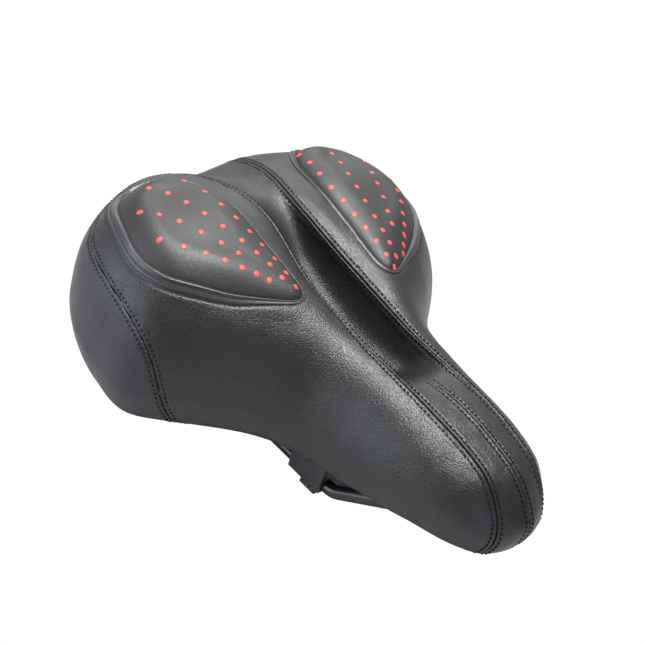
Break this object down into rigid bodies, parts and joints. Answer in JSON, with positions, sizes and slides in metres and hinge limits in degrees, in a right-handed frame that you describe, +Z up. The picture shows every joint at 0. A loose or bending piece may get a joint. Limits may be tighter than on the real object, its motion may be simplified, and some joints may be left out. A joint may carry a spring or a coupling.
{
  "type": "bicycle saddle",
  "caption": "Padded comfort bicycle saddle with raised gel pads, a centre channel, stitched leatherette panels, wire rails, a rubber-sprung rear and a tilting post clamp.",
  "frame": {"origin": "seat post axis where it crosses the plane of the two rails", "axes": "+Z up, -Y towards the nose, +X to the rider's left"},
  "size_m": [0.2046, 0.271, 0.1203],
  "materials": {
    "leatherette": "satin, fine pebbled grain",
    "pad_skin": "smooth satin",
    "pad_trim": "satin, welded groove",
    "coral_print": "soft printed ink",
    "gel": "soft gel",
    "foam": "moulded polyurethane foam",
    "black_plastic": "fine moulded texture",
    "elastomer": "matt rubber",
    "rail_steel": "satin black paint",
    "clamp_steel": "satin black paint",
    "zinc_steel": "zinc plated"
  },
  "bodies": {
    "post_clamp": {"clamp_collar": "clamp_steel"},
    "clamp_cups": {"inner_cup_left": "clamp_steel", "inner_cup_right": "clamp_steel", "outer_cup_left": "clamp_steel", "outer_cup_right": "clamp_steel", "clamp_bolt": "zinc_steel", "clamp_nut": "zinc_steel", "clamp_washers": "zinc_steel"},
    "rail_unit": {"rail_frame": "rail_steel", "rear_bridge": "black_plastic", "elastomer_left": "elastomer", "elastomer_right": "elastomer"},
    "seat": {"base_shell": "black_plastic", "cover_centre_panel": "leatherette", "cover_rear_panel_left": "leatherette", "cover_rear_panel_right": "leatherette", "cover_side_panel_left": "leatherette", "cover_side_panel_right": "leatherette", "cover_staples": "zinc_steel", "foam_cushion": "foam", "gel_insert_left": "gel", "gel_insert_right": "gel", "nose_cap": "black_plastic", "nose_cap_screws": "zinc_steel", "pad_border_left": "pad_trim", "pad_border_right": "pad_trim", "pad_cover_left": "pad_skin", "pad_cover_right": "pad_skin", "pad_dots_left": "coral_print", "pad_dots_right": "coral_print", "suspension_bolts": "zinc_steel", "suspension_washers": "zinc_steel"}
  },
  "joints": [
    {"name": "tilt", "type": "hinge", "parent": "post_clamp", "child": "clamp_cups", "pos_m": [0, 0, 0.024], "axis": [1, 0, 0], "range_deg": [-15, 15]},
    {"name": "fore_aft", "type": "slide", "parent": "clamp_cups", "child": "rail_unit", "axis": [0, -1, 0], "range_m": [0, 0.04]},
    {"name": "suspension", "type": "hinge", "parent": "rail_unit", "child": "seat", "pos_m": [0, -0.073, 0.0345], "axis": [-1, 0, 0], "range_deg": [0, 2.2], "stiffness_Nm_per_rad": 2400, "deforming": ["elastomer_left", "elastomer_right"]}
  ]
}
